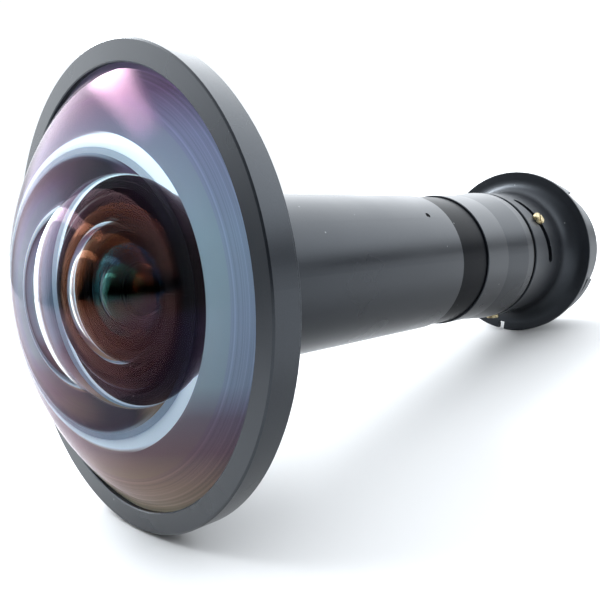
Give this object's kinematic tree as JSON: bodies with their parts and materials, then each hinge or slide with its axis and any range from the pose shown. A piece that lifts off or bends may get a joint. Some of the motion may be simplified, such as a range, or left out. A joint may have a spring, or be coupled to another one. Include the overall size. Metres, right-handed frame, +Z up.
{
  "type": "projection lens",
  "caption": "Ultra wide projection lens with a domed front glass in a broad ring, a long slim barrel, a helical focus sleeve and a flanged bayonet mount.",
  "frame": {"origin": "centre of the seating plane behind the mount flange, on the optical axis", "axes": "+Y along the optical axis from the front glass to the rear, +Z up as installed with a level axis, +X to the side"},
  "size_m": [0.18, 0.3591, 0.18],
  "materials": {
    "anodised_black": "satin black anodised",
    "flat_black": "matte black anodised",
    "coated_glass": "polished with an antireflection coating",
    "black_steel": "black oxide",
    "screw_brass": "turned and slightly tarnished",
    "gasket_rubber": "matte",
    "polymer_black": "matte"
  },
  "bodies": {
    "mount": {"mount_flange": "anodised_black", "rear_spigot": "anodised_black", "thrust_washer": "polymer_black"},
    "focus_ring": {"focus_ring": "anodised_black", "ring_retainer": "flat_black"},
    "lens_head": {"hood_ring": "anodised_black", "front_gasket": "gasket_rubber", "front_meniscus": "coated_glass", "hood_shell": "anodised_black", "hood_screws": "black_steel", "front_cell": "flat_black", "cell_screws": "black_steel", "second_meniscus": "coated_glass", "second_retaining_ring": "flat_black", "third_meniscus": "coated_glass", "third_retaining_ring": "flat_black", "fourth_lens": "coated_glass", "cell_spacer": "flat_black", "fifth_crown": "coated_glass", "fifth_flint": "coated_glass", "cell_rear_ring": "flat_black", "main_barrel": "anodised_black", "stop_spacer": "flat_black", "aperture_stop": "flat_black", "relay_cell": "flat_black", "relay_front_lens": "coated_glass", "relay_spacer": "flat_black", "relay_rear_lens": "coated_glass", "relay_ring": "flat_black", "barrel_grub_screws": "black_steel", "inner_tube": "flat_black", "field_spacer": "flat_black", "field_lens": "coated_glass", "middle_spacer": "flat_black", "middle_lens": "coated_glass", "tail_spacer": "flat_black", "tail_lens": "coated_glass", "tail_ring": "flat_black", "guide_screws": "screw_brass", "rear_cell": "flat_black", "rear_lens": "coated_glass", "rear_retaining_ring": "flat_black"}
  },
  "joints": [
    {"name": "focus_turn", "type": "hinge", "parent": "mount", "child": "focus_ring", "pos_m": [0, -0.0212, 0], "axis": [0, -1, 0], "range_deg": [-37, 24]},
    {"name": "focus_travel", "type": "slide", "parent": "focus_ring", "child": "lens_head", "axis": [0, -1, 0], "range_m": [-0.00462, 0.003]}
  ],
  "couplings": [
    {"joint": "focus_travel", "follows": "focus_turn", "m_per_rad": 0.007162}
  ]
}
